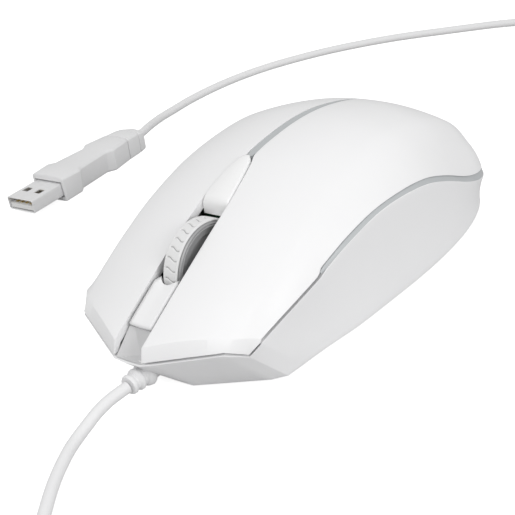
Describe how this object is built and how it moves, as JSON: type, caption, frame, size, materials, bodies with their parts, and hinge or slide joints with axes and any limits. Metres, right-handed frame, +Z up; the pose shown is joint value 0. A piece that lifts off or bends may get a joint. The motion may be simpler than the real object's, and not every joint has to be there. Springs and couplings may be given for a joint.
{
  "type": "computer mouse",
  "caption": "Wired computer mouse: flexing left and right buttons, scroll wheel that clicks, resolution button, spine and side light strips, and a cable with a USB plug.",
  "frame": {"origin": "on the desk, under the middle of the mouse's length and width", "axes": "+Z up, -Y towards the nose and the cable's outlet, +X towards the flank with the left button"},
  "size_m": [0.2234, 0.3356, 0.0408],
  "materials": {
    "shell": "satin",
    "base": "satin",
    "strip": "satin",
    "pearl": "pearl satin",
    "tyre": "matt",
    "hub": "satin",
    "cord": "matt",
    "steel": "satin",
    "gold": "polished",
    "board": "satin",
    "black": "satin",
    "clear": "clear",
    "foot": "low friction",
    "red": "satin"
  },
  "bodies": {
    "chassis": {"base_shell": "base", "palm_shell": "shell", "channel_bridge": "shell", "spine_strip": "strip", "left_strip": "strip", "right_strip": "strip", "wheel_encoder": "black", "main_board": "board", "upper_board": "board", "board_bracket": "black", "left_switch": "black", "right_switch": "black", "middle_switch": "black", "dpi_switch": "black", "optical_sensor": "black", "sensor_lens": "clear", "cable_connector": "foot", "sensor_light": "clear", "left_light": "clear", "right_light": "clear", "screw_1": "steel", "screw_2": "steel", "screw_3": "steel", "front_foot": "foot", "rear_foot": "foot", "strain_relief": "cord", "cable_front": "cord", "cable_coil": "cord", "cable_back": "cord", "plug_grip": "cord", "plug_collar": "cord", "plug_shell": "steel", "plug_tongue": "foot", "plug_contact_1": "gold", "plug_contact_2": "gold", "plug_contact_3": "gold", "plug_contact_4": "gold"},
    "left_key": {"left_button": "shell"},
    "right_key": {"right_button": "shell"},
    "left_pin": {"left_plunger": "red"},
    "right_pin": {"right_plunger": "red"},
    "cradle": {"wheel_carrier": "black"},
    "wheel": {"wheel_tyre": "tyre", "wheel_hub": "hub"},
    "middle_pin": {"middle_plunger": "red"},
    "dpi_key": {"dpi_button": "pearl"},
    "dpi_pin": {"dpi_plunger": "red"}
  },
  "joints": [
    {"name": "left_click", "type": "hinge", "parent": "chassis", "child": "left_key", "pos_m": [0, -0.00135, 0.034], "axis": [1, 0, 0], "range_deg": [0, 0.7], "stiffness_Nm_per_rad": 1.5, "springref_deg": -0.57},
    {"name": "right_click", "type": "hinge", "parent": "chassis", "child": "right_key", "pos_m": [0, -0.00135, 0.034], "axis": [1, 0, 0], "range_deg": [0, 0.7], "stiffness_Nm_per_rad": 1.5, "springref_deg": -0.57},
    {"name": "left_pin_travel", "type": "slide", "parent": "chassis", "child": "left_pin", "axis": [0, 0, -1], "range_m": [0, 0.0005]},
    {"name": "right_pin_travel", "type": "slide", "parent": "chassis", "child": "right_pin", "axis": [0, 0, -1], "range_m": [0, 0.0005]},
    {"name": "wheel_click", "type": "slide", "parent": "chassis", "child": "cradle", "axis": [0, 0, -1], "range_m": [0, 0.0005], "stiffness_N_per_m": 800, "springref_m": -0.0008},
    {"name": "wheel_turn", "type": "hinge", "parent": "cradle", "child": "wheel", "pos_m": [0, -0.03455, 0.02], "axis": [1, 0, 0], "continuous": true},
    {"name": "middle_pin_travel", "type": "slide", "parent": "chassis", "child": "middle_pin", "axis": [0, 0, -1], "range_m": [0, 0.0005]},
    {"name": "dpi_click", "type": "slide", "parent": "chassis", "child": "dpi_key", "axis": [0, 0, -1], "range_m": [0, 0.0005], "stiffness_N_per_m": 1500, "springref_m": -0.0006},
    {"name": "dpi_pin_travel", "type": "slide", "parent": "chassis", "child": "dpi_pin", "axis": [0, 0, -1], "range_m": [0, 0.0005]}
  ],
  "couplings": [
    {"joint": "left_pin_travel", "follows": "left_click", "m_per_rad": 0.04},
    {"joint": "right_pin_travel", "follows": "right_click", "m_per_rad": 0.04},
    {"joint": "middle_pin_travel", "follows": "wheel_click", "ratio": 1},
    {"joint": "dpi_pin_travel", "follows": "dpi_click", "ratio": 1}
  ]
}
